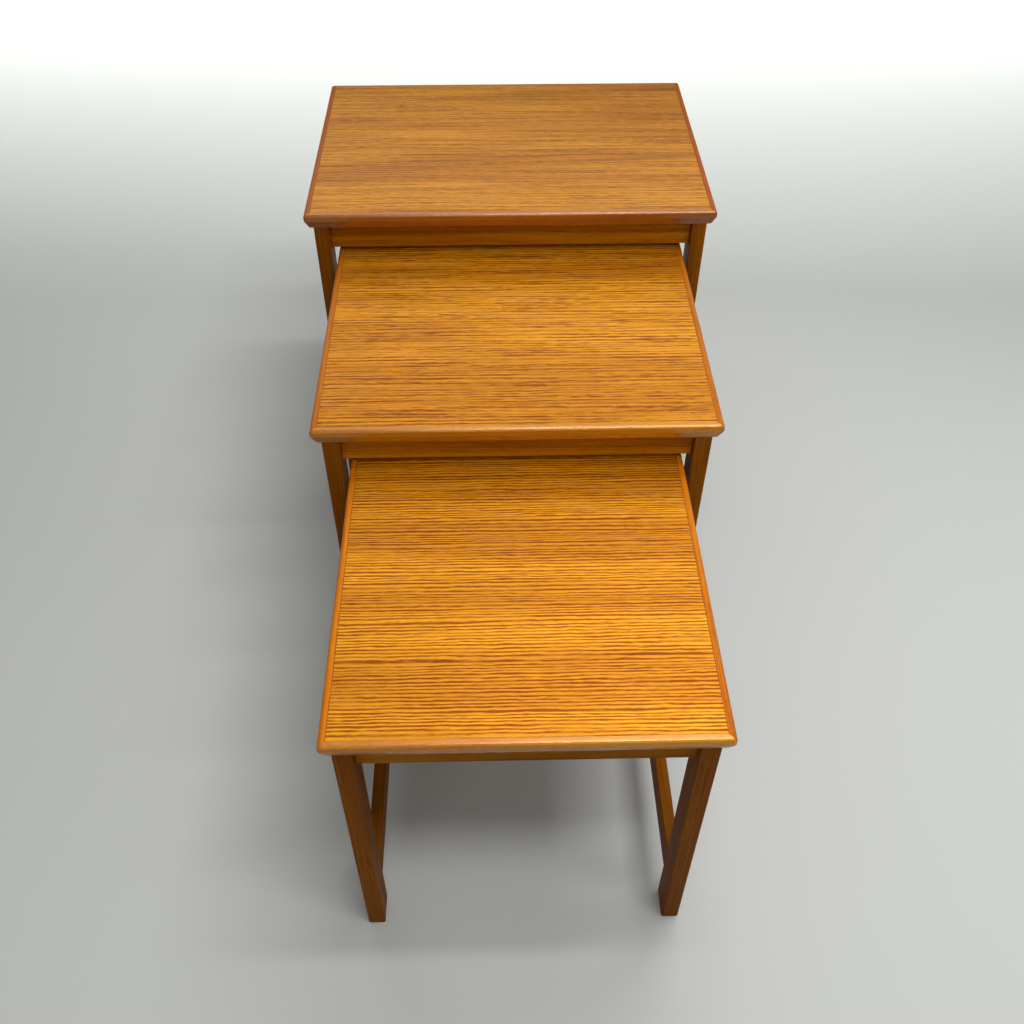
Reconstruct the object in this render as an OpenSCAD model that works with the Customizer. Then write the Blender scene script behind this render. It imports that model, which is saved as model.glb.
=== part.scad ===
// Nest of three side tables: veneered tops in mitred solid edging, on straight legs joined by
// aprons under the top and low stretchers at the sides.
// Millimetres. +Z is up, X runs along the tables' width and the fronts face -Y.
// The origin is on the floor, under the middle of the set as it stands pulled out in a row.

/* [Set] */
// Width of the largest table, over its edging
large_w = 525; // [470:5:600]
// Height of the largest table
large_h = 500; // [440:5:560]
// Depth of every table, front edge to rear edge
table_d = 380; // [330:5:420]
// How far the middle table stands out from under the largest one
medium_out = 342; // [0:1:360]
// How far the smallest table stands out from under the middle one
small_out = 353; // [0:1:360]
// Side room between a tabletop and the legs of the table it slides into
side_room = 8; // [3:0.5:15]
// Height room between a tabletop and the aprons of the table it slides into
height_room = 4.8; // [2:0.1:10]

/* [Tabletop] */
// Thickness of the core board
core_t = 18; // [15:0.5:22]
// Thickness of the face veneer and of the underside veneer
veneer_t = 0.6; // [0.5:0.1:1.5]
// Width of the solid edging around the veneer
edging_w = 7.5; // [6:0.5:15]
// Radius of the edging's rounded top edge
edge_round = 4; // [2:0.5:5]
// Height of the upright band under the rounded edge
edge_land = 4.6; // [1:0.2:6]
// How far the sloping lower part of the edging draws in
undercut = 4.4; // [2:0.2:4.4]
// Radius of the tabletop's corners, seen from above
corner_r = 3; // [1:0.5:6]

/* [Legs and rails] */
// Width of a leg, seen from the front
leg_w = 19; // [18:0.5:26]
// Depth of a leg, seen from the side
leg_d = 33; // [30:1:45]
// Radius of the legs' long edges
leg_round = 2; // [1:0.5:4]
// Height of the small chamfer around each foot
foot_chamfer = 1.5; // [0.5:0.5:3]
// Distance from the side edge of the top to the leg
side_overhang = 10.5; // [8:0.5:20]
// Distance from the front or rear edge of the top to the leg
front_overhang = 4.5; // [4.5:0.5:15]
// Thickness of the aprons and stretchers
rail_t = 14; // [13:0.5:16]
// Height of the aprons and stretchers
rail_h = 36; // [34:1:50]
// Radius of the rails' long edges
rail_round = 1.5; // [0.5:0.5:3]
// Distance from a leg's front face back to the front apron's face
apron_setback = 12; // [4:0.5:14]
// Height of the stretchers' lower edge above the floor
stretcher_z = 62; // [40:1:120]

/* [Fixings] */
// Diameter of the dowels
dowel_d = 6; // [5:0.5:6]
// Length of the dowels
dowel_l = 28; // [24:1:32]
// Depth that a dowel reaches into the leg
dowel_in_leg = 13; // [10:1:14]
// Side of the triangular corner blocks
block_side = 28; // [24:1:34]
// Height of the corner blocks
block_h = 24; // [20:1:30]
// Shank diameter of the screws that hold the top
screw_d = 4; // [3.5:0.5:5]
// Depth that a screw bites into the top
screw_bite = 12; // [8:1:15]

/* [Hidden] */
NAMES = ["large", "medium", "small"];
TABLES = [0, 1, 2];
// Corners and sides of a table: name, X direction, Y direction
CORNERS = [["front_left", -1, -1], ["front_right", 1, -1], ["rear_left", -1, 1], ["rear_right", 1, 1]];
SIDES = [["left", -1], ["right", 1]];
ENDS = [["front", -1], ["rear", 1]];

// Colours
VENEER_TEAK = "#C07A32";
SOLID_TEAK = "#A65F2A";
LEG_TEAK = "#6E401C";
BEECH = "#C9A06C";
CORE_BOARD = "#B9976A";
STEEL = "#A8A8A4";

$fn = 48;
// Small overlap that lets a cut run clean through a face
cut = 0.5;

// Stack of the tabletop and the room that a nested table needs
top_t = core_t + 2 * veneer_t;
inner_from_side = side_overhang + leg_w;
width_step = 2 * (inner_from_side + side_room);
height_step = top_t + rail_h + height_room;
set_depth = table_d + medium_out + small_out;

// Depth below the top face where the edging's upright band ends and its slope begins
band_low = edge_round + edge_land;

// Rails stand flush with the inner faces of the legs at the sides
apron_face = front_overhang + apron_setback;
apron_inner = apron_face + rail_t;
leg_inner_y = front_overhang + leg_d;

// Dowels: two to a joint, set wide across the width and close along the depth, so they pass
// one another inside the leg
wide_pair = 22;
close_pair = 8;
hole_spare = 1;

// Countersunk screw
head_share = 0.95;
head_r = screw_d * head_share;
head_rim = 0.5;
head_h = 2.6;
tip_l = 5;
slot_w = 1;
slot_deep = 1.2;
block_screw_share = 0.32;
block_screw_in = block_side * block_screw_share;
screw_l = block_h + screw_bite;

function table_w(t) = large_w - t * width_step;
function table_h(t) = large_h - t * height_step;
function table_y(t) = (set_depth - table_d) / 2 - (t > 0 ? medium_out : 0) - (t > 1 ? small_out : 0);
function underside(t) = table_h(t) - top_t;
function apron_z(t) = underside(t) - rail_h;
function leg_inner_x(t) = table_w(t) / 2 - inner_from_side;
function rail_mid_x(t) = leg_inner_x(t) + rail_t / 2;
function apron_mid_y() = table_d / 2 - apron_face - rail_t / 2;

// Puts a table's piece, drawn about the middle of its own plan, where the table stands
module stand(t) {
    translate([0, table_y(t), 0])
        children();
}

// Rectangle centred on the origin with rounded corners
module soft_rect(w, h, r) {
    square([w - 2 * r, h], center = true);
    square([w, h - 2 * r], center = true);
    for (x = [-1, 1], y = [-1, 1])
        translate([x * (w / 2 - r), y * (h / 2 - r)])
            circle(r = r);
}

// ---- Tabletop ----

module board(t, z, thickness) {
    translate([0, 0, z])
        linear_extrude(thickness)
            square([table_w(t) - 2 * edging_w, table_d - 2 * edging_w], center = true);
}

module top_core(t) {
    color(CORE_BOARD)
        difference() {
            board(t, underside(t) + veneer_t, core_t);
            screw_shanks(t);
        }
}

module top_veneer(t) {
    color(VENEER_TEAK)
        board(t, table_h(t) - veneer_t, veneer_t);
}

module underside_veneer(t) {
    color(VENEER_TEAK)
        difference() {
            board(t, underside(t), veneer_t);
            screw_shanks(t);
        }
}

// Edging in cross-section: X runs inwards from the outer edge, Y down from the top face
module edging_section() {
    difference() {
        translate([0, -top_t])
            square([edging_w, top_t]);
        difference() {
            translate([-cut, -edge_round])
                square([edge_round + cut, edge_round + cut]);
            translate([edge_round, -edge_round])
                circle(r = edge_round);
        }
        polygon([
            [-cut, -band_low],
            [0, -band_low],
            [undercut, -top_t],
            [undercut, -top_t - cut],
            [-cut, -top_t - cut]
        ]);
    }
}

// One length of edging along X, with its outer edge on Y = 0, mitred at both ends
module edging(length, depth, h) {
    intersection() {
        translate([-length / 2, 0, h])
            rotate([90, 0, 90])
                linear_extrude(length)
                    edging_section();
        translate([0, 0, h - top_t - cut])
            linear_extrude(top_t + 2 * cut)
                intersection() {
                    polygon([
                        [-length / 2, 0],
                        [length / 2, 0],
                        [length / 2 - edging_w, edging_w],
                        [-length / 2 + edging_w, edging_w]
                    ]);
                    translate([0, depth / 2])
                        soft_rect(length, depth, corner_r);
                }
    }
}

module edging_end(t, dir) {
    color(SOLID_TEAK)
        rotate([0, 0, dir < 0 ? 0 : 180])
            translate([0, -table_d / 2, 0])
                edging(table_w(t), table_d, table_h(t));
}

module edging_side(t, dir) {
    color(SOLID_TEAK)
        rotate([0, 0, dir < 0 ? -90 : 90])
            translate([0, -table_w(t) / 2, 0])
                edging(table_d, table_w(t), table_h(t));
}

// ---- Legs and rails ----

// Cuts the four lower edges of a leg centred on the origin
module foot_cuts() {
    side = foot_chamfer * sqrt(2);
    for (y = [-1, 1])
        translate([0, y * leg_d / 2, 0])
            rotate([45, 0, 0])
                cube([leg_w + 2 * cut, side, side], center = true);
    for (x = [-1, 1])
        translate([x * leg_w / 2, 0, 0])
            rotate([0, 45, 0])
                cube([side, leg_d + 2 * cut, side], center = true);
}

module leg(t, corner) {
    x = corner[1] * (leg_inner_x(t) + leg_w / 2);
    y = corner[2] * (table_d / 2 - front_overhang - leg_d / 2);
    color(LEG_TEAK)
        difference() {
            translate([x, y, 0])
                difference() {
                    linear_extrude(underside(t))
                        soft_rect(leg_w, leg_d, leg_round);
                    foot_cuts();
                }
            corner_dowels(t, corner, hole_spare);
        }
}

module stretcher_section() {
    soft_rect(rail_t, rail_h, rail_round);
}

// An apron is rounded along its lower edges only, because its upper face meets the top
module apron_section() {
    soft_rect(rail_t, rail_h, rail_round);
    translate([-rail_t / 2, 0])
        square([rail_t, rail_h / 2]);
}

module apron_end(t, dir) {
    length = 2 * leg_inner_x(t);
    color(LEG_TEAK)
        difference() {
            translate([-length / 2, dir * apron_mid_y(), apron_z(t) + rail_h / 2])
                rotate([90, 0, 90])
                    linear_extrude(length)
                        apron_section();
            for (c = CORNERS)
                if (c[2] == dir)
                    corner_dowels(t, c, hole_spare);
        }
}

// A rail between the front and rear legs of one side, drawn from its section
module side_rail(t, dir, z) {
    length = table_d - 2 * leg_inner_y;
    difference() {
        translate([dir * rail_mid_x(t), length / 2, z + rail_h / 2])
            rotate([90, 0, 0])
                linear_extrude(length)
                    children();
        for (c = CORNERS)
            if (c[1] == dir)
                corner_dowels(t, c, hole_spare);
    }
}

module apron_side(t, dir) {
    color(LEG_TEAK)
        side_rail(t, dir, apron_z(t))
            apron_section();
}

module stretcher(t, dir) {
    color(LEG_TEAK)
        side_rail(t, dir, stretcher_z)
            stretcher_section();
}

// ---- Fixings ----

// A dowel along +X whose leg end reaches dowel_in_leg past the origin
module dowel(spare) {
    translate([dowel_in_leg - dowel_l - spare, 0, 0])
        rotate([0, 90, 0])
            cylinder(d = dowel_d, h = dowel_l + 2 * spare);
}

// The six dowels at one corner: end apron, side apron and stretcher, two each
module corner_dowels(t, corner, spare) {
    apron_mid = apron_z(t) + rail_h / 2;
    for (k = [-1, 1]) {
        translate([corner[1] * leg_inner_x(t), corner[2] * apron_mid_y(), apron_mid + k * wide_pair / 2])
            rotate([0, 0, corner[1] > 0 ? 0 : 180])
                dowel(spare);
        translate([corner[1] * rail_mid_x(t), corner[2] * (table_d / 2 - leg_inner_y), 0])
            rotate([0, 0, corner[2] * 90]) {
                translate([0, 0, apron_mid + k * close_pair / 2])
                    dowel(spare);
                translate([0, 0, stretcher_z + rail_h / 2 + k * wide_pair / 2])
                    dowel(spare);
            }
    }
}

module dowels(t) {
    color(BEECH)
        for (c = CORNERS)
            corner_dowels(t, c, 0);
}

// Places a screw, or its hole, in every corner block
module at_screws(t) {
    for (c = CORNERS)
        translate([
            c[1] * (leg_inner_x(t) - block_screw_in),
            c[2] * (table_d / 2 - apron_inner - block_screw_in),
            underside(t) - block_h
        ])
            children();
}

module screw_body() {
    rotate_extrude()
        polygon([
            [0, 0],
            [head_r, 0],
            [head_r, head_rim],
            [screw_d / 2, head_h],
            [screw_d / 2, screw_l - tip_l],
            [0, screw_l]
        ]);
}

module screw_shanks(t) {
    at_screws(t)
        screw_body();
}

module top_screws(t) {
    color(STEEL)
        at_screws(t)
            difference() {
                screw_body();
                cube([2 * head_r + cut, slot_w, 2 * slot_deep], center = true);
            }
}

module corner_blocks(t) {
    color(BEECH)
        difference() {
            for (c = CORNERS)
                translate([
                    c[1] * leg_inner_x(t),
                    c[2] * (table_d / 2 - apron_inner),
                    underside(t) - block_h
                ])
                    linear_extrude(block_h)
                        polygon([[0, 0], [-c[1] * block_side, 0], [0, -c[2] * block_side]]);
            screw_shanks(t);
        }
}

// ---- Assembly ----

for (t = TABLES)
    stand(t) {
        top_core(t);
        top_veneer(t);
        underside_veneer(t);
        for (e = ENDS) {
            edging_end(t, e[1]);
            apron_end(t, e[1]);
        }
        for (s = SIDES) {
            edging_side(t, s[1]);
            apron_side(t, s[1]);
            stretcher(t, s[1]);
        }
        for (c = CORNERS)
            leg(t, c);
        corner_blocks(t);
        top_screws(t);
        dowels(t);
    }
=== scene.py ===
"""A nest of three oiled teak side tables, standing pulled out in a row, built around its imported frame."""

import math

import bmesh
import bpy
from bpy.props import FloatProperty, FloatVectorProperty, IntProperty, PointerProperty
from mathutils import Matrix, Vector


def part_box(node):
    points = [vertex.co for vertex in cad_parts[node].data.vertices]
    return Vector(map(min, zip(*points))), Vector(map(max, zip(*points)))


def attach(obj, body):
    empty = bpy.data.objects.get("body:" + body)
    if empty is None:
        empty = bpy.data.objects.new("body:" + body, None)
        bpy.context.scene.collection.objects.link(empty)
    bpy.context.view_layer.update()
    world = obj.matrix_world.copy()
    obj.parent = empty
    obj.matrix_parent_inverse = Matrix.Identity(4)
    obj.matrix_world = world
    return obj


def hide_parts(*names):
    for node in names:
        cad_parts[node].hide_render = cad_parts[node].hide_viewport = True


bl_info = {
    "name": "Nest of teak tables",
    "version": (1, 0, 0),
    "blender": (4, 5, 0),
    "location": "3D View > Sidebar > Nest of tables",
    "description": "Veneered tops, edging, legs and rails of a nest of three tables, with finishes",
    "category": "Object",
}

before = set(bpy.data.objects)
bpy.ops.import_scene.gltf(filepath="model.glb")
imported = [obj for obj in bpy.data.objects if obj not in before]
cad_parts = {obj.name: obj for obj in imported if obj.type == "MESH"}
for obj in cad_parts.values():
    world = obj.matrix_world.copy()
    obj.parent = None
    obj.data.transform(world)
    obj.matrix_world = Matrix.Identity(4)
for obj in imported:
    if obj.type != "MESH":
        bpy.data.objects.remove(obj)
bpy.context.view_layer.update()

MM = 0.001
# Tolerances in metres: when two places are one, and when a cut has met a point.
SAME_PLACE, CUT_SNAP = 1e-6, 1e-7
# Cosines of the angle to an axis, above which an edge runs along it or a face lies square across it.
ALONG, FLAT = 0.999, 0.9
X, Y, Z = 0, 1, 2
TABLES = ("large", "medium", "small")
SIDES = ("front", "rear", "left", "right")
LEGS = ("leg_front_left", "leg_front_right", "leg_rear_left", "leg_rear_right")
RAILS = {
    "apron_front": X,
    "apron_rear": X,
    "apron_left": Y,
    "apron_right": Y,
    "stretcher_left": Y,
    "stretcher_right": Y,
}


def linear(hex_colour):
    """An sRGB hex colour as the linear red, green and blue that shaders and lights take."""
    parts = [int(hex_colour[i : i + 2], 16) / 255 for i in (0, 2, 4)]
    return tuple(p / 12.92 if p <= 0.04045 else ((p + 0.055) / 1.055) ** 2.4 for p in parts)


def length(name, description, default_mm):
    """A length property, given in millimetres."""
    return FloatProperty(
        name=name,
        description=description,
        default=default_mm * MM,
        min=0.0,
        subtype="DISTANCE",
        unit="LENGTH",
    )


def colour(name, description, hex_colour):
    """A colour property, given as an sRGB hex value."""
    return FloatVectorProperty(
        name=name,
        description=description,
        default=linear(hex_colour),
        size=3,
        min=0.0,
        max=1.0,
        subtype="COLOR",
    )


class NestSizes(bpy.types.PropertyGroup):
    """How the edges are worked. The tables' own sizes come from the frame."""

    edge_round: length("Edge round-over", "Radius along the upper edge of the edging", 4.0)
    edge_land: length("Edge land", "Upright band below the round-over", 4.6)
    undercut: length("Undercut", "How far the sloping lower part of the edging draws in", 4.4)
    arris_blend: length("Arris blend", "Reach of the blend where the edging starts to slope", 0.8)
    foot_ease: length("Foot ease", "How far the edging's lower arris is eased", 0.35)
    corner_round: length("Corner", "Radius of a top's four corners, seen from above", 3.0)
    joint_groove: length("Joint groove", "Half the width of the groove along the front and rear joints", 0.1)
    side_groove: length("Side groove", "Half the width of the groove along the side joints and mitres", 0.28)
    leg_round: length("Leg rounding", "Radius of the long edges of a leg", 2.0)
    foot_chamfer: length("Foot chamfer", "Chamfer round the foot of a leg", 1.5)
    rail_round: length("Rail rounding", "Radius of the long edges of an apron or stretcher", 1.5)
    round_steps: IntProperty(
        name="Rounding steps",
        description="Facets across a worked round-over",
        default=8,
        min=2,
        max=16,
    )


class NestColours(bpy.types.PropertyGroup):
    """The colours of the finishes."""

    large_light: colour("Large top, light", "Early wood of the largest table's veneer", "BF8020")
    large_dark: colour("Large top, dark", "Late wood lines of the largest table's veneer", "8C5510")
    large_edging: colour("Large edging", "Edging of the largest table", "9E6018")
    medium_light: colour("Medium top, light", "Early wood of the medium table's veneer", "D38F16")
    medium_dark: colour("Medium top, dark", "Late wood lines of the medium table's veneer", "8A4705")
    medium_edging: colour("Medium edging", "Edging of the medium table", "BE7F0F")
    small_light: colour("Small top, light", "Early wood of the smallest table's veneer", "D89217")
    small_dark: colour("Small top, dark", "Late wood lines of the smallest table's veneer", "8C4403")
    small_edging: colour("Small edging", "Edging of the smallest table", "D28C0E")
    leg_light: colour("Legs, light", "Early wood of the legs and the rails that run front to rear", "834B04")
    leg_dark: colour("Legs, dark", "Late wood of the legs and the rails that run front to rear", "633604")
    # The aprons' colours are partly their own wood and partly a painted sheen of fibres lit along their
    # length.
    rail_light: colour("Rails, light", "Early wood of the front and rear aprons", "D28511")
    rail_dark: colour("Rails, dark", "Late wood of the front and rear aprons", "A56009")
    pore: colour("Pores", "Oil darkened pores and glue lines", "5A2A08")
    underside: colour("Underside", "Plain veneer under the tops", "B98A58")
    beech: colour("Beech", "Corner blocks and dowels", "D9B98C")
    core: colour("Core board", "Pressed chips inside the tops", "C4A678")
    steel: colour("Screw steel", "Bright steel of the screws", "B9B8B4")
    floor: colour("Floor", "Plain pale floor", "B8BAB6")


# ---------------------------------------------------------------- shapes


def span(*nodes):
    """Lowest and highest corner of some CAD nodes together."""
    boxes = [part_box(n) for n in nodes]
    low = Vector(min(b[0][i] for b in boxes) for i in range(3))
    high = Vector(max(b[1][i] for b in boxes) for i in range(3))
    return low, high


def block(low, high):
    """A bmesh block between two corners."""
    shape = bmesh.new()
    size = high - low
    place = Matrix.Translation((low + high) / 2) @ Matrix.Diagonal((*size, 1.0))
    bmesh.ops.create_cube(shape, size=1.0, matrix=place)
    return shape


def edges_along(shape, axis):
    """The straight edges that run along one axis."""
    return [e for e in shape.edges if abs((e.verts[1].co - e.verts[0].co).normalized()[axis]) > ALONG]


def level_edges(edges, height):
    """Those of some edges that lie at one height."""
    return [e for e in edges if all(abs(v.co.z - height) < SAME_PLACE for v in e.verts)]


# Bevel settings: a true arc, and new faces that keep their neighbours' material.
ARC, SAME_MATERIAL = 0.5, -1


def work_edges(shape, edges, width, steps):
    """Rounds or chamfers edges and returns the new faces."""
    made = bmesh.ops.bevel(
        shape,
        geom=edges,
        offset=width,
        offset_type="OFFSET",
        affect="EDGES",
        segments=steps,
        profile=ARC,
        material=SAME_MATERIAL,
        clamp_overlap=True,
    )
    return made["faces"]


def saw(shape, point, outward):
    """Saws off all that lies beyond a plane and closes the cut. Returns the cut face."""
    cut = bmesh.ops.bisect_plane(
        shape,
        geom=[*shape.verts, *shape.edges, *shape.faces],
        dist=CUT_SNAP,
        plane_co=point,
        plane_no=outward,
        clear_outer=True,
    )
    rim = [g for g in cut["geom_cut"] if isinstance(g, bmesh.types.BMEdge)]
    filled = bmesh.ops.contextual_create(shape, geom=rim)
    return filled["faces"][0]


# Faces that meet at more than this keep a sharp edge between them.
SHARP_DEG = 32.0


def finish_piece(shape, name, body, nodes, finishes):
    """Turns a bmesh into a smooth shaded piece that rides on its table and stands for its CAD nodes."""
    bmesh.ops.recalc_face_normals(shape, faces=shape.faces)
    for face in shape.faces:
        face.smooth = True
    mesh = bpy.data.meshes.new(name)
    shape.to_mesh(mesh)
    shape.free()
    mesh.set_sharp_from_angle(angle=math.radians(SHARP_DEG))
    for finish in finishes:
        mesh.materials.append(finish)
    piece = bpy.data.objects.new(name, mesh)
    bpy.context.scene.collection.objects.link(piece)
    evened = piece.modifiers.new("even_flats", "WEIGHTED_NORMAL")
    evened.keep_sharp = True
    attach(piece, body)
    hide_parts(*nodes)
    return piece


# Facets across the blend between the land and the slope.
BLEND_STEPS = 4


def edge_profile(sizes, thickness):
    """The outer edge of a top: round-over, land, blend and straight slope.

    Each point is its depth below the top and how far in it lies.
    """
    steps = sizes.round_steps
    radius = sizes.edge_round
    points = []
    for i in range(steps + 1):
        turn = math.radians(90) * i / steps
        points.append((radius * (1 - math.cos(turn)), radius * (1 - math.sin(turn))))
    start = radius + sizes.edge_land
    lean = sizes.undercut / (thickness - start)
    # A parabola that leaves the land upright and meets the slope at its own angle.
    reach = sizes.arris_blend
    for i in range(BLEND_STEPS + 1):
        past = 2 * reach * i / BLEND_STEPS
        points.append((start - reach + past, lean * past**2 / (4 * reach)))
    ease = sizes.foot_ease
    points.append((thickness - ease, lean * (thickness - ease - start)))
    points.append((thickness, sizes.undercut + ease))
    return points


def worked_top(sizes, low, high):
    """A whole top as one block with its corners rounded and its edge profile worked all round."""
    shape = block(low, high)
    work_edges(shape, edges_along(shape, Z), sizes.corner_round, sizes.round_steps)
    profile = edge_profile(sizes, high.z - low.z)
    for depth, _inward in profile[1:-1]:
        bmesh.ops.bisect_plane(
            shape,
            geom=[*shape.verts, *shape.edges, *shape.faces],
            dist=CUT_SNAP,
            plane_co=(0, 0, high.z - depth),
            plane_no=(0, 0, 1),
        )
    middle = (low + high) / 2
    for vert in shape.verts:
        depth = high.z - vert.co.z
        inward = min(profile, key=lambda point: abs(point[0] - depth))[1]
        vert.co.x -= math.copysign(inward, vert.co.x - middle.x)
        vert.co.y -= math.copysign(inward, vert.co.y - middle.y)
    return shape


def edging_piece(whole, side, low, high, inner_low, inner_high, groove):
    """One mitred length of edging, sawn out of a copy of the worked top."""
    shape = whole.copy()
    axis = Y if side in ("front", "rear") else X
    sign = -1 if side in ("front", "left") else 1
    other = 1 - axis
    inner = Vector((0, 0, 0))
    inner[axis] = -sign
    line = inner_low if sign < 0 else inner_high
    saw(shape, line, inner)
    mitres = []
    for end in (-1, 1):
        corner = Vector((0, 0, 0))
        corner[axis] = (high if sign > 0 else low)[axis]
        corner[other] = (high if end > 0 else low)[other]
        outward = Vector((0, 0, 0))
        outward[axis] = -sign
        outward[other] = end
        mitres.append(saw(shape, corner, outward.normalized()))
    rims = {e for face in mitres if face.is_valid for e in face.edges}
    for edge in level_edges(shape.edges, high.z):
        if all(abs(v.co[axis] - line[axis]) < SAME_PLACE for v in edge.verts):
            rims.add(edge)
    for face in work_edges(shape, [e for e in shape.edges if e in rims], groove, 1):
        face.material_index = 1
    return shape


# ---------------------------------------------------------------- finishes


# The middle of a ramp, and of a figure that runs from 0 to 1.
MIDDLE = 0.5


def add(tree, kind, inputs=None, stops=None, **settings):
    """Adds one node with its settings. An input is a value, a socket or a node; stops fill a colour ramp."""
    new = tree.nodes.new(kind)
    for name, value in settings.items():
        setattr(new, name, value)
    for name, value in (inputs or {}).items():
        if isinstance(value, bpy.types.Node):
            value = next(out for out in value.outputs if out.enabled)
        if isinstance(value, bpy.types.NodeSocket):
            tree.links.new(value, new.inputs[name])
        else:
            new.inputs[name].default_value = value
    if stops:
        ramp = new.color_ramp
        while len(ramp.elements) < len(stops):
            ramp.elements.new(MIDDLE)
        for element, (place, value) in zip(ramp.elements, stops):
            element.position = place
            element.color = (*value, 1.0)
    return new


# A Mix node's sockets, which share their names: its factor, two numbers and two colours.
FACTOR, FIRST_NUMBER, SECOND_NUMBER, FIRST_COLOUR, SECOND_COLOUR = 0, 2, 3, 6, 7


def start_material(name):
    """A new material, its node tree and its shader."""
    material = bpy.data.materials.new(name)
    material.use_nodes = True
    tree = material.node_tree
    shader = next(n for n in tree.nodes if n.type == "BSDF_PRINCIPLED")
    return material, tree, shader


def finish_shader(tree, shader, colour_node, relief=None, **constants):
    """Wires a colour and a relief to a shader and sets its constants.

    A relief is a height node, a strength and a depth in mm.
    """
    tree.links.new(next(out for out in colour_node.outputs if out.enabled), shader.inputs["Base Color"])
    if relief:
        height, strength, depth_mm = relief
        bump = add(
            tree,
            "ShaderNodeBump",
            {"Height": height, "Strength": strength, "Distance": depth_mm * MM},
        )
        tree.links.new(bump.outputs["Normal"], shader.inputs["Normal"])
    for name, value in constants.items():
        shader.inputs[name.replace("_", " ")].default_value = value


def stretched(tree, grain, along_mm, across_mm, shift=(0.0, 0.0, 0.0)):
    """Object coordinates scaled so that one unit is along_mm down the grain and across_mm over it."""
    scale = [1 / (across_mm * MM)] * 3
    scale[grain] = 1 / (along_mm * MM)
    place = add(tree, "ShaderNodeTexCoord").outputs["Object"]
    return add(
        tree,
        "ShaderNodeMapping",
        {"Vector": place, "Location": shift, "Scale": scale},
    )


# Layers of noise in any teak: length down the grain and width over it in mm, and octaves past the first.
TEAK_LAYERS = {
    "stray": (42.0, 11.0, 1.0),
    "ragged": (14.0, 2.4, 1.0),
    "pores": (6.0, 0.6, 1.0),
}
# Layers that follow a wood's own lines: width over the grain against the distance between two lines,
# and length down it against how long a line holds. Broad bands have a length of their own.
LOOSE_WIDE, FADING_WIDE, BANDS_WIDE = 0.6, 2.5, 8.0
FADING_LONG, BANDS_LONG_MM = 0.4, 420.0
# How much each finer octave adds, and how far the straying and the ragged layer carry a line.
OCTAVE_SHARE = 0.6
STRAY_MM, RAGGED_MM = 3.0, 1.0
# Values of noise that few points lie outside, taken as its whole range.
NOISE_LOW, NOISE_HIGH = 0.3, 0.7
BAND_SHADE = "E8DED6"
# Values of a layer's noise between which the broad bands darken, the lines fade and the pores open.
BAND_RANGE, FADE_RANGE, PORE_RANGE = (0.36, 0.60), (0.35, 0.60), (0.60, 0.74)
PORE_DEPTH, ROUGH_SWING, RELIEF_MM = 0.5, 0.05, 0.1
OILED_WOOD_IOR = 1.45
# How much of the way from dark to light is gained, and where past the middle of the figure.
EARLY_SHARE, EARLY_PLACE = 0.8, 0.25
# A wave of scale 1 has one even line in 2 pi / 20 of a unit, and a diagonal one in twice that.
EVEN_LINE = {"Y": 2 * math.pi / 20, "DIAGONAL": 2 * math.pi / 10}
# How far a wave's lines swell and close up, and how fine the noise is that does it, as the node counts.
UNEVEN, UNEVEN_FINENESS = 9.0, 0.6


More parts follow.
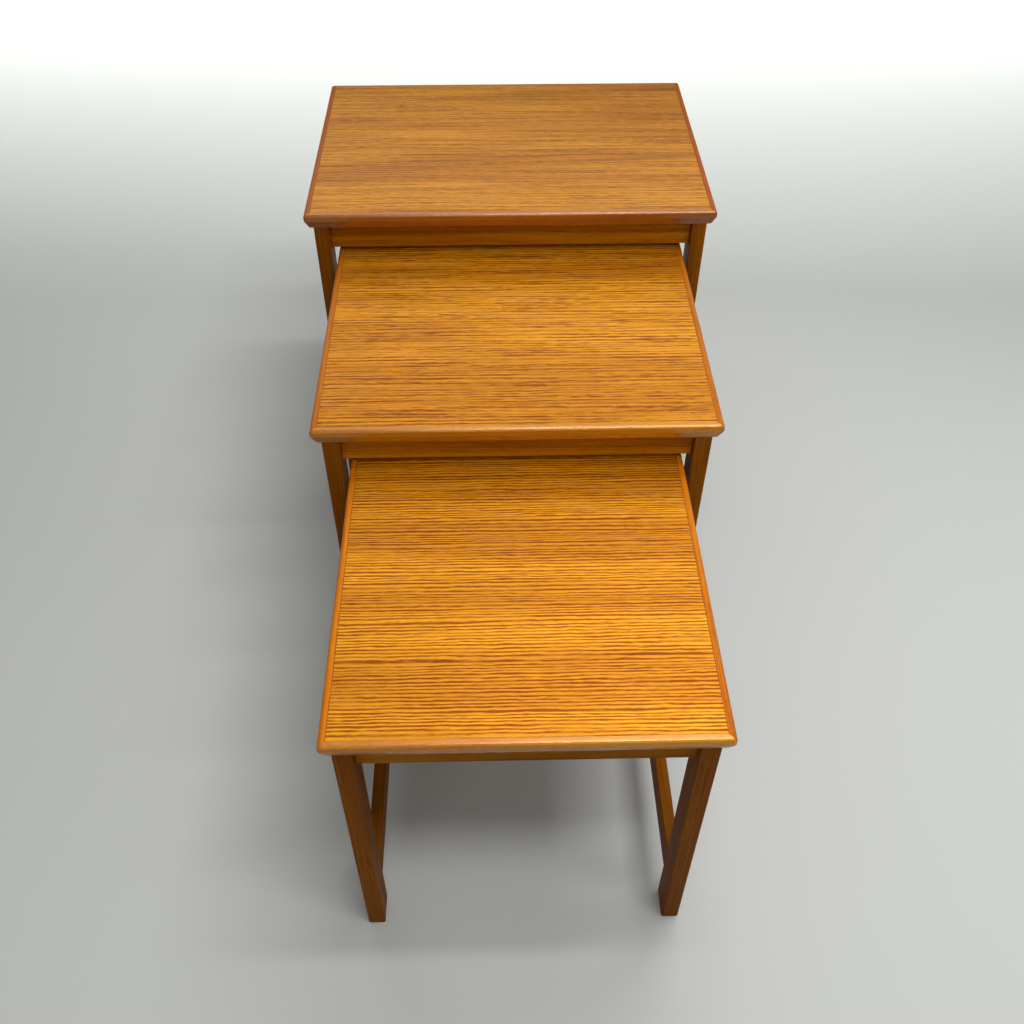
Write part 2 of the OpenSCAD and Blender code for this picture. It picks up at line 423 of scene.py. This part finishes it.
def teak(name, grain, light, dark, pore, cut):
    """Oiled teak: lines of late wood down the grain, short flecks, broad bands of tone and open dark pores.

    cut says how this wood was cut and finished: ring_mm and ring_mm_along, how far apart the lines are and
    how long one holds; regular, the share of evenly spaced lines; fleck, the size and share of short flecks;
    spread, how much of the figure's range lies between dark and light; fade, how faint the faintest lines
    are; fibre, the coloured sheen of fibres lit across their length; gloss, rough and relief; shift, where
    in the log it lay; direction, Y for lines seen from above only, or none for lines on every side.
    """
    material, tree, shader = start_material(name)
    shift = cut["shift"]
    ring = cut["ring_mm"]
    fleck_along, fleck_across, fleck_share = cut["fleck"]
    layers = {
        **TEAK_LAYERS,
        "flecks": (fleck_along, fleck_across, 1.0),
        "loose": (cut["ring_mm_along"], LOOSE_WIDE * ring, 0.0),
        "fading": (FADING_LONG * cut["ring_mm_along"], FADING_WIDE * ring, 0.0),
        "bands": (BANDS_LONG_MM, BANDS_WIDE * ring, 0.0),
    }
    noise = {}
    for layer, (along_mm, across_mm, octaves) in layers.items():
        noise[layer] = add(
            tree,
            "ShaderNodeTexNoise",
            {
                "Vector": stretched(tree, grain, along_mm, across_mm, shift),
                "Scale": 1.0,
                "Detail": octaves,
                "Roughness": OCTAVE_SHARE,
            },
        )
    # Lines stray by about a millimetre every few centimetres, and their edges are ragged from fibre to
    # fibre.
    place = stretched(tree, grain, cut["ring_mm_along"], ring, shift)
    for layer, reach_mm in (("stray", STRAY_MM), ("ragged", RAGGED_MM)):
        reach = [reach_mm / ring] * 3
        reach[grain] = 0.0
        place = add(
            tree,
            "ShaderNodeVectorMath",
            {0: noise[layer].outputs["Color"], 1: reach, 2: place},
            operation="MULTIPLY_ADD",
        )
    direction = cut.get("direction", "DIAGONAL")
    even = add(
        tree,
        "ShaderNodeTexWave",
        {
            "Vector": place,
            "Scale": EVEN_LINE[direction],
            "Distortion": UNEVEN,
            "Detail": 1.0,
            "Detail Scale": UNEVEN_FINENESS,
        },
        wave_type="BANDS",
        bands_direction=direction,
        wave_profile="SIN",
    )
    full = {}
    for layer in ("loose", "flecks"):
        full[layer] = add(
            tree,
            "ShaderNodeMapRange",
            {"Value": noise[layer], "From Min": NOISE_LOW, "From Max": NOISE_HIGH},
        )
    strength = add(
        tree,
        "ShaderNodeMapRange",
        {
            "Value": noise["fading"],
            "From Min": FADE_RANGE[0],
            "From Max": FADE_RANGE[1],
            "To Min": cut["fade"],
        },
    )
    figure = full["loose"]
    for share, first, second in (
        (cut["regular"], None, even),
        (fleck_share, None, full["flecks"]),
        (strength, MIDDLE, None),
    ):
        figure = add(
            tree,
            "ShaderNodeMix",
            {
                FACTOR: share,
                FIRST_NUMBER: figure if first is None else first,
                SECOND_NUMBER: figure if second is None else second,
            },
            data_type="FLOAT",
        )
    # The late wood is a narrow line in wide early wood, so most of the tone is gained just past the middle.
    spread = cut["spread"]
    early = tuple(d + EARLY_SHARE * (w - d) for d, w in zip(dark, light))
    wood = add(
        tree,
        "ShaderNodeValToRGB",
        {"Fac": figure},
        stops=[
            (MIDDLE - spread, dark),
            (MIDDLE + EARLY_PLACE * spread, early),
            (MIDDLE + spread, light),
        ],
    )
    tone = add(
        tree,
        "ShaderNodeValToRGB",
        {"Fac": noise["bands"]},
        stops=[(BAND_RANGE[0], linear(BAND_SHADE)), (BAND_RANGE[1], linear("FFFFFF"))],
    )
    banded = add(
        tree,
        "ShaderNodeMix",
        {FACTOR: 1.0, FIRST_COLOUR: wood, SECOND_COLOUR: tone},
        data_type="RGBA",
        blend_type="MULTIPLY",
    )
    open_pores = add(
        tree,
        "ShaderNodeMapRange",
        {
            "Value": noise["pores"],
            "From Min": PORE_RANGE[0],
            "From Max": PORE_RANGE[1],
            "To Max": PORE_DEPTH,
        },
    )
    shown = add(
        tree,
        "ShaderNodeMix",
        {FACTOR: open_pores, FIRST_COLOUR: banded, SECOND_COLOUR: (*pore, 1.0)},
        data_type="RGBA",
    )
    rough = cut["rough"]
    roughness = add(
        tree,
        "ShaderNodeMapRange",
        {"Value": figure, "To Min": rough + ROUGH_SWING, "To Max": rough - ROUGH_SWING},
    )
    tree.links.new(roughness.outputs["Result"], shader.inputs["Roughness"])
    height = add(
        tree,
        "ShaderNodeMath",
        {0: figure, 1: open_pores},
        operation="SUBTRACT",
    )
    finish_shader(
        tree,
        shader,
        shown,
        (height, cut["relief"], RELIEF_MM),
        IOR=OILED_WOOD_IOR,
        Metallic=cut["fibre"],
        Specular_IOR_Level=cut["gloss"],
    )
    return material


FINISHES = {}
# What late wood leaves of a colour's red, green and blue, and the painted shade of fibres that meet the
# light end on.
LATE_WOOD = (0.72, 0.58, 0.45)
END_ON_PAINTED_SHADE = (0.85, 0.62, 0.3)
# Where in the log each table's wood was cut.
LOG = {"large": (3.1, 7.7, 1.0), "medium": (9.4, 2.3, 4.0), "small": (5.8, 11.9, 8.0)}
# What sets one wood apart from another, as teak() takes it.
VENEER_CUTS = {
    "large": dict(
        ring_mm=4.6,
        ring_mm_along=170,
        regular=0.3,
        fleck=(16, 1.4, 0.4),
        spread=0.21,
        fade=0.6,
    ),
    "medium": dict(
        ring_mm=5.2,
        ring_mm_along=150,
        regular=0.5,
        fleck=(16, 1.5, 0.35),
        spread=0.2,
        fade=0.4,
    ),
    "small": dict(
        ring_mm=4.1,
        ring_mm_along=180,
        regular=0.75,
        fleck=(14, 1.2, 0.3),
        spread=0.19,
        fade=0.45,
    ),
}
SOLID_CUT = dict(
    ring_mm=3.6,
    ring_mm_along=120,
    regular=0.3,
    fleck=(16, 1.6, 0.3),
    spread=0.4,
    fade=0.5,
)
# Painted light: how much lighter or darker each table's legs and front and rear aprons are painted against
# the colours given for them, after the light that falls on each table's frame.
FRAME_PAINTED_LIGHT = {
    "leg": {"large": 1.15, "medium": 1.15, "small": 1.0},
    "rail": {"large": 0.65, "medium": 0.78, "small": 0.62},
}


# Roughness of the finishes without a sheen, and of the screws from their brightest to their dullest ring.
GLUE_ROUGH, END_ROUGH, BACKING_ROUGH, BEECH_ROUGH, CHIP_ROUGH = 0.6, 0.7, 0.6, 0.65, 0.8
STEEL_ROUGH = (0.22, 0.42)
# Sizes in mm: specks in a glue line and pores in end grain; flakes thick and wide; rings round a screw.
SPECK_MM, END_PORE_MM, FLAKE_MM, SCREW_RING_MM = 6.0, 1.1, (1.4, 4.0), (0.4, 20.0)
# Fibres in mm, along and across, of the backing veneer and of beech, and how far they stand out.
BACKING_MM, BEECH_MM, FIBRE_RELIEF = (90.0, 2.5), (8.0, 1.2), 0.3


def shaded(base, by):
    """A colour made darker or lighter channel by channel."""
    return tuple(min(1.0, b * k) for b, k in zip(base, by))


def toned(base, by):
    """A colour made darker or lighter as a whole."""
    return shaded(base, [by] * 3)


def make_finishes(colours):
    """All the finishes by name, made once."""
    if FINISHES:
        return FINISHES
    pore = tuple(colours.pore)
    for table in TABLES:
        shift = LOG[table]
        light, dark = (tuple(getattr(colours, f"{table}_{tone}")) for tone in ("light", "dark"))
        # Sliced teak veneer, oiled: golden brown with fine dark lines across the table's width. Fibres lit
        # across their length throw back a golden sheen, which stands in the shader as a metallic share.
        veneer = dict(direction="Y", fibre=0.5, gloss=0.2, rough=0.42, relief=0.25)
        cut = dict(VENEER_CUTS[table], shift=shift, **veneer)
        FINISHES[f"{table}_veneer"] = teak(f"sliced_teak_veneer_{table}", X, light, dark, pore, cut)
        # Solid teak edging, planed, oiled and rubbed: close grained and glossier than the veneer. Lengths
        # that run front to rear show their fibres end on to the light, so they look darker and redder; that
        # darker, redder look is painted shade in their colour.
        cut = dict(SOLID_CUT, shift=shift, fibre=0.2, gloss=0.7, rough=0.28, relief=0.12)
        edging = tuple(getattr(colours, f"{table}_edging"))
        FINISHES[f"{table}_edging_x"] = teak(
            f"solid_teak_edging_across_{table}", X, edging, shaded(edging, LATE_WOOD), pore, cut
        )
        # Painted shade: the front-to-rear lengths take the edging colour darkened and reddened.
        end_on_painted_shade = shaded(edging, END_ON_PAINTED_SHADE)
        cut = dict(cut, fibre=0.1, gloss=0.1, rough=0.4)
        FINISHES[f"{table}_edging_y"] = teak(
            f"solid_teak_edging_deep_{table}", Y, end_on_painted_shade, shaded(end_on_painted_shade, LATE_WOOD), pore, cut
        )
        # Solid teak of the legs and rails, oiled and satin: dark red brown with a straight grain. The aprons
        # across the width are lighter and more golden than the legs and the rails that run front to rear,
        # partly their own wood and partly a painted sheen of fibres lit along their length.
        cut = dict(SOLID_CUT, shift=shift, fibre=0.0, gloss=0.03, rough=0.45, relief=0.15)
        for part, axis, tones in (("rail", X, "rail"), ("stretcher", Y, "leg"), ("leg", Z, "leg")):
            # Each table's leg, stretcher and apron colours are scaled by that table's painted light.
            light, dark = (
                toned(getattr(colours, f"{tones}_{tone}"), FRAME_PAINTED_LIGHT[tones][table])
                for tone in ("light", "dark")
            )
            FINISHES[f"{table}_{part}"] = teak(f"solid_teak_{part}_{table}", axis, light, dark, pore, cut)
    FINISHES["joint"] = glue_line(pore)
    FINISHES["end_grain"] = end_grain(tuple(colours.leg_light), tuple(colours.leg_dark), pore)
    FINISHES["underside"] = plain_wood(
        "plain_backing_veneer", X, tuple(colours.underside), BACKING_MM, BACKING_ROUGH
    )
    FINISHES["beech"] = plain_wood("sawn_beech", Z, tuple(colours.beech), BEECH_MM, BEECH_ROUGH)
    FINISHES["core"] = chipboard(tuple(colours.core))
    FINISHES["steel"] = screw_steel(tuple(colours.steel))
    return FINISHES


def glue_line(pore):
    """Oil and glue in a tight joint: a hairline darker than the wood on both sides."""
    material, tree, shader = start_material("teak_glue_line")
    specks = add(
        tree,
        "ShaderNodeTexNoise",
        {"Vector": stretched(tree, Z, SPECK_MM, SPECK_MM), "Scale": 1.0, "Detail": 2.0},
    )
    shade = add(
        tree,
        "ShaderNodeValToRGB",
        {"Fac": specks},
        stops=[(0.35, pore), (0.65, toned(pore, 2.6))],
    )
    finish_shader(tree, shader, shade, Roughness=GLUE_ROUGH)
    return material


def end_grain(light, dark, pore):
    """Sawn end grain of teak under the feet: darker than the sides, dotted with open pores."""
    material, tree, shader = start_material("teak_end_grain")
    dots = add(
        tree,
        "ShaderNodeTexVoronoi",
        {"Vector": stretched(tree, Z, END_PORE_MM, END_PORE_MM), "Scale": 1.0},
        feature="F1",
    )
    shade = add(
        tree,
        "ShaderNodeValToRGB",
        {"Fac": dots},
        stops=[(0.12, pore), (0.3, dark), (0.9, light)],
    )
    finish_shader(tree, shader, shade, Roughness=END_ROUGH)
    return material


def plain_wood(name, grain, base, fibre_mm, roughness):
    """Bare wood out of sight: pale, fine straight fibres, matt."""
    material, tree, shader = start_material(name)
    fibres = add(
        tree,
        "ShaderNodeTexNoise",
        {"Vector": stretched(tree, grain, *fibre_mm), "Scale": 1.0, "Detail": 3.0},
    )
    shade = add(
        tree,
        "ShaderNodeValToRGB",
        {"Fac": fibres},
        stops=[(0.3, toned(base, 0.72)), (0.7, base)],
    )
    finish_shader(tree, shader, shade, (fibres, FIBRE_RELIEF, RELIEF_MM), Roughness=roughness)
    return material


def chipboard(base):
    """Pressed wood chips: flat flakes a few millimetres across, from straw to brown, matt."""
    material, tree, shader = start_material("pressed_chipboard")
    flakes = add(
        tree,
        "ShaderNodeTexVoronoi",
        {"Vector": stretched(tree, Z, *FLAKE_MM), "Scale": 1.0},
        feature="F1",
    )
    grey = add(tree, "ShaderNodeRGBToBW", {"Color": flakes.outputs["Color"]})
    shade = add(
        tree,
        "ShaderNodeValToRGB",
        {"Fac": grey},
        stops=[(0.1, toned(base, 0.5)), (0.6, base), (0.95, toned(base, 1.25))],
    )
    finish_shader(tree, shader, shade, Roughness=CHIP_ROUGH)
    return material


def screw_steel(base):
    """Turned steel screws: bright metal with fine rings round the shank, slightly dulled."""
    material, tree, shader = start_material("turned_screw_steel")
    rings = add(
        tree,
        "ShaderNodeTexNoise",
        {"Vector": stretched(tree, Z, *SCREW_RING_MM), "Scale": 1.0, "Detail": 2.0},
    )
    shade = add(
        tree,
        "ShaderNodeValToRGB",
        {"Fac": rings},
        stops=[(0.3, toned(base, 0.8)), (0.6, base)],
    )
    roughness = add(
        tree,
        "ShaderNodeMapRange",
        {"Value": rings, "To Min": STEEL_ROUGH[0], "To Max": STEEL_ROUGH[1]},
    )
    tree.links.new(roughness.outputs["Result"], shader.inputs["Roughness"])
    finish_shader(tree, shader, shade, Metallic=1.0)
    return material


def dress(node_name, finish):
    """Gives a CAD node that stays its finish."""
    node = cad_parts[node_name]
    node.data.materials.clear()
    node.data.materials.append(finish)


# ---------------------------------------------------------------- operators


class NestOperator(bpy.types.Operator):
    """What the nest's operators share."""

    bl_options = {"REGISTER", "UNDO"}


class NEST_OT_edging(NestOperator):
    """Mitred solid teak edging round the three tops"""

    bl_idname = "nest.edging"
    bl_label = "Edging"

    def execute(self, context):
        sizes = context.scene.nest_sizes
        finishes = make_finishes(context.scene.nest_colours)
        for table in TABLES:
            low, high = span(*[f"{table}_edging_{side}" for side in SIDES])
            inner_low, inner_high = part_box(f"{table}_top_veneer")
            whole = worked_top(sizes, low, high)
            for side in SIDES:
                groove = sizes.joint_groove if side in ("front", "rear") else sizes.side_groove
                shape = edging_piece(whole, side, low, high, inner_low, inner_high, groove)
                grain = f"{table}_edging_{'x' if side in ('front', 'rear') else 'y'}"
                finish_piece(
                    shape,
                    f"mitred_edging_{side}_{table}",
                    f"{table}_table",
                    [f"{table}_edging_{side}"],
                    [finishes[grain], finishes["joint"]],
                )
            whole.free()
        return {"FINISHED"}


class NEST_OT_veneers(NestOperator):
    """Teak face veneers, let in flush with the edging"""

    bl_idname = "nest.veneers"
    bl_label = "Face veneers"

    def execute(self, context):
        sizes = context.scene.nest_sizes
        finishes = make_finishes(context.scene.nest_colours)
        for table in TABLES:
            low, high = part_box(f"{table}_top_veneer")
            shape = block(low, high)
            for axis, groove in ((Y, sizes.side_groove), (X, sizes.joint_groove)):
                rim = level_edges(edges_along(shape, axis), high.z)
                for face in work_edges(shape, rim, groove, 1):
                    face.material_index = 1
            finish_piece(
                shape,
                f"face_veneer_{table}",
                f"{table}_table",
                [f"{table}_top_veneer"],
                [finishes[f"{table}_veneer"], finishes["joint"]],
            )
        return {"FINISHED"}


class NEST_OT_legs(NestOperator):
    """Straight rectangular legs with softened edges and a chamfered foot"""

    bl_idname = "nest.legs"
    bl_label = "Legs"

    def execute(self, context):
        sizes = context.scene.nest_sizes
        finishes = make_finishes(context.scene.nest_colours)
        for table in TABLES:
            for leg in LEGS:
                low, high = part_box(f"{table}_{leg}")
                shape = block(low, high)
                work_edges(shape, edges_along(shape, Z), sizes.leg_round, sizes.round_steps // 2)
                foot = level_edges(shape.edges, low.z)
                work_edges(shape, foot, sizes.foot_chamfer, 1)
                for face in shape.faces:
                    if abs(face.normal.z) > FLAT:
                        face.material_index = 1
                finish_piece(
                    shape,
                    f"{leg}_{table}",
                    f"{table}_table",
                    [f"{table}_{leg}"],
                    [finishes[f"{table}_leg"], finishes["end_grain"]],
                )
        return {"FINISHED"}


class NEST_OT_rails(NestOperator):
    """Aprons under the tops and low stretchers between the legs"""

    bl_idname = "nest.rails"
    bl_label = "Aprons and stretchers"

    def execute(self, context):
        sizes = context.scene.nest_sizes
        finishes = make_finishes(context.scene.nest_colours)
        for table in TABLES:
            for rail, axis in RAILS.items():
                low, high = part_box(f"{table}_{rail}")
                shape = block(low, high)
                long_edges = edges_along(shape, axis)
                if rail.startswith("apron"):
                    long_edges = [e for e in long_edges if e.verts[0].co.z < (low.z + high.z) / 2]
                work_edges(shape, long_edges, sizes.rail_round, sizes.round_steps // 2)
                finish_piece(
                    shape,
                    f"{rail}_{table}",
                    f"{table}_table",
                    [f"{table}_{rail}"],
                    [finishes[f"{table}_{'rail' if axis == X else 'stretcher'}"]],
                )
        return {"FINISHED"}


class NEST_OT_hidden(NestOperator):
    """Finishes of the parts inside and under the tops"""

    bl_idname = "nest.hidden"
    bl_label = "Boards, blocks, dowels and screws"

    def execute(self, context):
        finishes = make_finishes(context.scene.nest_colours)
        dressed = {
            "top_core": "core",
            "underside_veneer": "underside",
            "corner_blocks": "beech",
            "dowels": "beech",
            "top_screws": "steel",
        }
        for table in TABLES:
            for part, finish in dressed.items():
                dress(f"{table}_{part}", finishes[finish])
        return {"FINISHED"}


# Where the camera stands, how far it looks to the right, down and tilted, and its lens for a 36 mm frame.
SENSOR_MM = 36.0
CAMERA = {
    "place_mm": (-26.28, -1038.59, 1192.38),
    "yaw_deg": 1.356,
    "pitch_deg": 45.855,
    "roll_deg": 0.107,
    "lens_mm": 37.032,
}
# Half the floor's side, how far it lies under the feet so the two don't flicker, and how matt it is.
FLOOR_HALF_M = 4.5
FLOOR_DROP_MM = 0.2
FLOOR_ROUGH = 0.75
# The surround's colour, its strength as light, and its strength as the camera sees it.
WORLD_HEX, WORLD_FILL, WORLD_SEEN = "EEF2F6", 0.15, 0.78
# White lamps: name, place (m), aimed at (m), width and height (m), watts.
LAMPS = (
    ("bounce_low", (0.0, 0.70, 0.35), (0.0, -1.0, 0.35), (4.0, 0.7), 1.5),
    ("bounce_high", (0.7, 0.70, 1.60), (0.5, -1.0, 1.60), (3.6, 1.8), 27.0),
    ("rear_bounce_low", (0.0, 0.70, 0.35), (0.0, 3.0, 0.35), (4.0, 0.7), 1.5),
    ("rear_bounce_high", (0.0, 0.70, 1.60), (0.0, 3.0, 1.60), (4.0, 1.8), 34.0),
    ("rear_wash", (0.3, 2.8, 2.4), (0.3, 2.8, 0.0), (6.0, 2.0), 105.0),
    ("ceiling_lamp_rear", (0.5, 0.40, 2.5), (0.5, 0.40, 0.4), (1.3, 0.12), 17.0),
    ("ceiling_lamp_middle", (0.5, -0.36, 2.5), (0.5, -0.36, 0.4), (1.3, 0.12), 14.0),
    ("ceiling_lamp_front", (0.5, -1.10, 2.5), (0.3, -0.5, 0.4), (1.3, 0.12), 27.0),
    ("front_fill", (-0.4, -3.0, 1.6), (0.0, 0.0, 0.4), (2.0, 1.5), 12.0),
    ("side_fill", (2.0, -0.3, 1.3), (0.0, -0.2, 0.4), (1.6, 1.2), 4.0),
)
# The rear wash lights only the floor under it, so the tops don't mirror it.
FULL_SPREAD_DEG = 180.0
LAMP_SPREAD_DEG = {"rear_wash": 75.0}


def camera_turn():
    """The camera's rotation: its right, up and back directions as columns."""
    yaw = math.radians(CAMERA["yaw_deg"])
    pitch = math.radians(CAMERA["pitch_deg"])
    roll = math.radians(CAMERA["roll_deg"])
    ahead = Vector((math.sin(yaw) * math.cos(pitch), math.cos(yaw) * math.cos(pitch), -math.sin(pitch)))
    level = Vector((math.cos(yaw), -math.sin(yaw), 0))
    upright = level.cross(ahead)
    right = math.cos(roll) * level + math.sin(roll) * upright
    up = math.cos(roll) * upright - math.sin(roll) * level
    return Matrix((right, up, -ahead)).transposed()


class NEST_OT_stage(NestOperator):
    """Plain pale floor, soft studio light and the camera"""

    bl_idname = "nest.stage"
    bl_label = "Stage"

    def execute(self, context):
        scene = context.scene
        shape = bmesh.new()
        bmesh.ops.create_grid(
            shape,
            x_segments=1,
            y_segments=1,
            size=FLOOR_HALF_M,
            matrix=Matrix.Translation((0, 0, -FLOOR_DROP_MM * MM)),
        )
        mesh = bpy.data.meshes.new("studio_floor")
        shape.to_mesh(mesh)
        shape.free()
        floor = bpy.data.objects.new("studio_floor", mesh)
        scene.collection.objects.link(floor)
        # Painted studio floor: pale, matt, even.
        material, _tree, shader = start_material("matt_floor_paint")
        shader.inputs["Base Color"].default_value = (*scene.nest_colours.floor, 1.0)
        shader.inputs["Roughness"].default_value = FLOOR_ROUGH
        mesh.materials.append(material)

        world = bpy.data.worlds.new("soft_surround")
        world.use_nodes = True
        surround = world.node_tree.nodes["Background"]
        surround.inputs["Color"].default_value = (*linear(WORLD_HEX), 1.0)
        seen = add(world.node_tree, "ShaderNodeLightPath").outputs["Is Camera Ray"]
        strength = add(
            world.node_tree,
            "ShaderNodeMapRange",
            {"Value": seen, "To Min": WORLD_FILL, "To Max": WORLD_SEEN},
        ).outputs["Result"]
        world.node_tree.links.new(strength, surround.inputs["Strength"])
        scene.world = world

        for name, place, aim, size, watts in LAMPS:
            lamp = bpy.data.lights.new(name, "AREA")
            lamp.shape = "RECTANGLE"
            lamp.size, lamp.size_y = size
            lamp.energy = watts
            lamp.spread = math.radians(LAMP_SPREAD_DEG.get(name, FULL_SPREAD_DEG))
            holder = bpy.data.objects.new(name, lamp)
            holder.location = place
            holder.rotation_mode = "QUATERNION"
            holder.rotation_quaternion = (Vector(aim) - Vector(place)).to_track_quat("-Z", "Y")
            holder.visible_camera = False
            scene.collection.objects.link(holder)

        lens = bpy.data.cameras.new("camera")
        lens.sensor_width = SENSOR_MM
        lens.lens = CAMERA["lens_mm"]
        camera = bpy.data.objects.new("camera", lens)
        place = Vector(CAMERA["place_mm"]) * MM
        camera.matrix_world = Matrix.Translation(place) @ camera_turn().to_4x4()
        scene.collection.objects.link(camera)
        scene.camera = camera
        scene.view_settings.view_transform = "Standard"
        return {"FINISHED"}


OPERATORS = (
    NEST_OT_edging,
    NEST_OT_veneers,
    NEST_OT_legs,
    NEST_OT_rails,
    NEST_OT_hidden,
    NEST_OT_stage,
)


class NEST_PT_panel(bpy.types.Panel):
    """The nest's makers, sizes and colours"""

    bl_idname = "NEST_PT_panel"
    bl_label = "Nest of tables"
    bl_space_type = "VIEW_3D"
    bl_region_type = "UI"
    bl_category = "Nest of tables"

    def draw(self, context):
        layout = self.layout
        for operator in OPERATORS:
            layout.operator(operator.bl_idname)
        for group in (context.scene.nest_sizes, context.scene.nest_colours):
            box = layout.box()
            for name in type(group).__annotations__:
                box.prop(group, name)


CLASSES = (NestSizes, NestColours, *OPERATORS, NEST_PT_panel)


def register():
    """Registers the classes and hangs the two property groups on the scene."""
    for cls in CLASSES:
        bpy.utils.register_class(cls)
    bpy.types.Scene.nest_sizes = PointerProperty(type=NestSizes)
    bpy.types.Scene.nest_colours = PointerProperty(type=NestColours)


def unregister():
    """Takes them off again."""
    del bpy.types.Scene.nest_colours
    del bpy.types.Scene.nest_sizes
    for cls in reversed(CLASSES):
        bpy.utils.unregister_class(cls)


def main():
    """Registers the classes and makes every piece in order."""
    register()
    bpy.ops.nest.edging()
    bpy.ops.nest.veneers()
    bpy.ops.nest.legs()
    bpy.ops.nest.rails()
    bpy.ops.nest.hidden()
    bpy.ops.nest.stage()


if __name__ == "__main__":
    main()
